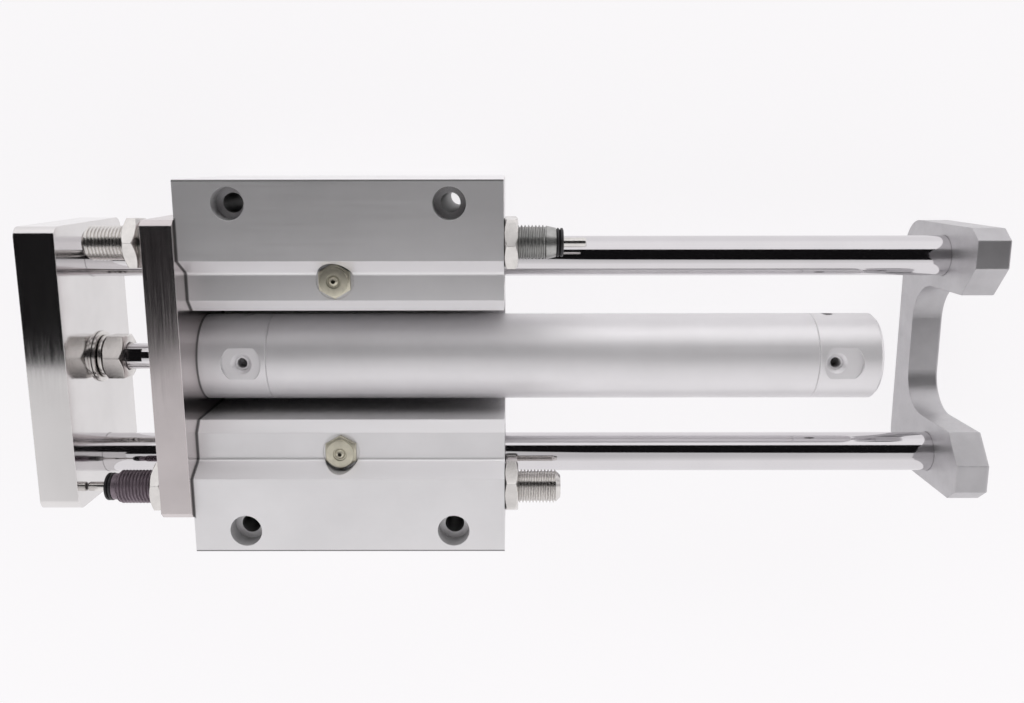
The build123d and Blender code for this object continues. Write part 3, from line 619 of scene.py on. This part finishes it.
def nipplePiece(name, x, y, look):
    # from the shank up: a hexagon with coned corners, a flat disc, a moat, a dome that is part of a circle,
    # and the grease hole
    ball, hole, taper = look["ball"], look["hole"], look["taper"]
    corner = look["flats"] / math.sqrt(3)
    side = look["hexTop"] - (corner - look["face"]) * cornerSlope
    disc, discTop, discRound, discCut = look["disc"], look["discTop"], look["discRound"], look["discCut"]
    moatFloor = discTop - look["moatDepth"]
    angles = math.asin((moatFloor - look["ballHeight"]) / ball), math.acos(hole / ball)
    dome = [(look["ballHeight"] + ball * math.sin(a), ball * math.cos(a), "round")
            for a in np.linspace(*angles, look["ballRings"])]
    moatSide = dome[0][1] + look["moat"]
    holeBottom = dome[-1][0] - look["holeDepth"]
    steps = [
        (-look["shankLength"], 0, "round"),
        (-look["shankLength"], look["shank"] - taper, "round"),
        (taper - look["shankLength"], look["shank"], "round"),
        (0, look["shank"], "round"),
        (0, corner - look["foot"], "hex"),
        (look["footTop"], corner, "hex"),
        (side, corner, "hex"),
        (look["hexTop"], look["face"], "hex"),
        (look["hexTop"] + look["lip"], disc, "round"),
        (discTop - discRound, disc, "round"),
        (discTop - discCut, disc - discCut, "round"),
        (discTop, disc - discRound, "round"),
        (discTop, moatSide, "round"),
        (moatFloor, moatSide - look["moatSlant"], "round"),
        *dome,
        (holeBottom, hole, "round"),
        (holeBottom - look["holeCone"], 0, "round"),
    ]
    profile = [(look["seat"] + s, r, kind) for s, r, kind in steps]
    return turnedPiece(name, profile, look, (x, y), True, axis="z")


nippleLow, nippleHigh = span("grease_nipples")
nippleX = (nippleLow[0] + nippleHigh[0]) / 2
nippleY = nippleHigh[1] - nippleLook["flats"] / math.sqrt(3)
for name, side in (("upper_nipple", 1), ("lower_nipple", -1)):
    nipple = nipplePiece(name, nippleX, side * nippleY, nippleLook)
    fit(nipple, "nipple_brass", "guide_unit", "grease_nipples")

portLook = dict(pitch=0.8, outer=2.08, crest=1.98, low=36.04, high=41.0, floor=0.5, orifice=0.65, bevel=0.05,
                lead=0.15, runOut=0.1, drillCone=0.5)


def portThread(name, x, look):
    # the thread's ridges stand in from the wall of the port; a floor with a small air hole closes its bottom
    low, high, crest, bevel = look["low"], look["high"], look["crest"], look["bevel"]
    bottom = low + look["floor"]
    profile = [
        (low, look["orifice"], "round"),
        (low, look["outer"], "round"),
        (high, look["outer"], "round"),
        (high - bevel, crest + bevel, "round"),
        (high - look["lead"], crest, "tap"),
        (bottom + look["runOut"], crest, "tap"),
        (bottom, crest - look["drillCone"], "round"),
        (bottom - bevel, look["orifice"], "round"),
    ]
    return turnedPiece(name, profile, look, (x, 0), False, axis="z")


for mount in frame["record"]["mounts"]:
    if mount["kind"] == "threaded_hole":
        thread = portThread(mount["name"] + "_thread", mount["pos_m"][0] / mm, portLook)
        fit(thread, "anodised_cylinder", "guide_unit")
print("nipples and port threads made")


# Camera, floor and light; the camera's turn is in degrees, its lens and sensor in millimetres

view = dict(place=(0.04803, 0.05985, 0.31964), turn=(-11.4339, 0.0521, -0.0686), lens=33.675, sensor=36.0,
            nearest=0.01)
cameraData = bpy.data.cameras.new("camera")
cameraData.lens = view["lens"]
cameraData.sensor_width = view["sensor"]
cameraData.clip_start = view["nearest"]
camera = bpy.data.objects.new("camera", cameraData)
camera.location = view["place"]
camera.rotation_euler = [math.radians(a) for a in view["turn"]]
bpy.context.scene.collection.objects.link(camera)
bpy.context.scene.camera = camera

floorLook = dict(half=3.0, colour=(0.93, 0.915, 0.925, 1.0), white=(1.0, 0.985, 1.0, 1.0), keep=0.85)
floorMesh = bpy.data.meshes.new("floor")
half = floorLook["half"]
floorCorners = [(-half, -half, 0), (half, -half, 0), (half, half, 0), (-half, half, 0)]
floorMesh.from_pydata(floorCorners, [], [(0, 1, 2, 3)])
floor = bpy.data.objects.new("floor", floorMesh)
bpy.context.scene.collection.objects.link(floor)


def floorMaterial(look):
    # a pale matt sheet that mostly shows its own white to the camera and to polished metal
    material = bpy.data.materials.new("pale_floor")
    tree = emptyTree(material)
    path = addNode(tree, "ShaderNodeLightPath").outputs
    seen = calculate(tree, "ADD", path["Is Camera Ray"], path["Is Glossy Ray"])
    seen = calculate(tree, "ADD", seen, path["Is Transmission Ray"], use_clamp=True)
    share = mapRange(tree, seen, 0, 1, 0, look["keep"])
    matt = addNode(tree, "ShaderNodeBsdfDiffuse", {"Color": look["colour"]})
    white = addNode(tree, "ShaderNodeEmission", {"Color": look["white"], "Strength": 1.0})
    mix = addNode(tree, "ShaderNodeMixShader", None, {0: share, 1: matt.outputs[0], 2: white.outputs[0]})
    addNode(tree, "ShaderNodeOutputMaterial", None, {"Surface": mix.outputs[0]})
    return material


floorMesh.materials.append(floorMaterial(floorLook))

# a white tent that is brighter round the sides than straight above, and brightest towards +Y
skyLook = dict(side=1.0, top=0.66, sideUntil=0.70, topFrom=0.98, dim=0.98, bright=1.05, dimUntil=-0.1,
               brightFrom=0.6, tint=(1.0, 0.985, 0.995, 1.0))
world = bpy.data.worlds.new("studio")
skyTree = emptyTree(world)
skyPlace = addNode(skyTree, "ShaderNodeTexCoord").outputs["Generated"]
skyAxes = splitAxes(skyTree, skyPlace)
overhead = mapRange(skyTree, skyAxes["Z"], skyLook["sideUntil"], skyLook["topFrom"],
                    skyLook["side"], skyLook["top"])
sideways = mapRange(skyTree, skyAxes["Y"], skyLook["dimUntil"], skyLook["brightFrom"],
                    skyLook["dim"], skyLook["bright"])
skyLevel = calculate(skyTree, "MULTIPLY", overhead, sideways)
sky = addNode(skyTree, "ShaderNodeBackground", {"Color": skyLook["tint"]}, {"Strength": skyLevel})
addNode(skyTree, "ShaderNodeOutputWorld", None, {"Surface": sky.outputs[0]})
bpy.context.scene.world = world

# a black card over the object, as a photographer hangs one: polished metal mirrors it, and matt faces under it
# are a little darker, but it casts no shadow and isn't seen itself
cardLook = dict(
    height=0.168, colour=(0.006, 0.0055, 0.006, 1.0),
    corners=((-0.45, 0.165), (-0.45, -0.023), (-0.10, -0.023), (-0.05, 0.0), (0.03, 0.018), (0.08, -0.008),
             (0.15, -0.014), (0.23, -0.02), (0.55, -0.02), (0.55, 0.15), (0.15, 0.15)))
cardMesh = bpy.data.meshes.new("dark_card")
cardCorners = [(x, y, cardLook["height"]) for x, y in cardLook["corners"]]
cardMesh.from_pydata(cardCorners, [], [tuple(range(len(cardCorners)))])
card = bpy.data.objects.new("dark_card", cardMesh)
cardMaterial = bpy.data.materials.new("dark_card")
cardTree = emptyTree(cardMaterial)
cardSurface = addNode(cardTree, "ShaderNodeEmission", {"Color": cardLook["colour"], "Strength": 1.0})
addNode(cardTree, "ShaderNodeOutputMaterial", None, {"Surface": cardSurface.outputs[0]})
cardMesh.materials.append(cardMaterial)
card.visible_camera = card.visible_transmission = card.visible_shadow = False
bpy.context.scene.collection.objects.link(card)

lampLooks = [
    dict(name="key", place=(0.20, 0.85, 0.25), size=(1.00, 0.50), power=3.7),
    dict(name="fill", place=(-0.15, -0.62, 0.62), size=(0.70, 0.70), power=0.3),
]
lampTarget = np.array((0.04, 0.0, 0.02))
for look in lampLooks:
    lampData = bpy.data.lights.new(look["name"], "AREA")
    lampData.shape = "RECTANGLE"
    lampData.size, lampData.size_y = look["size"]
    lampData.energy = look["power"]
    lamp = bpy.data.objects.new(look["name"], lampData)
    lamp.location = look["place"]
    lamp.visible_glossy = False
    aim = lampTarget - np.array(look["place"])  # a lamp shines along its own -Z, so it is tipped, then turned
    yaw = math.atan2(aim[1], aim[0])
    lamp.rotation_euler = (math.acos(-aim[2] / np.linalg.norm(aim)), 0, yaw - math.pi / 2)
    bpy.context.scene.collection.objects.link(lamp)
bpy.context.scene.view_settings.view_transform = "Standard"
print("camera, floor and light are set")
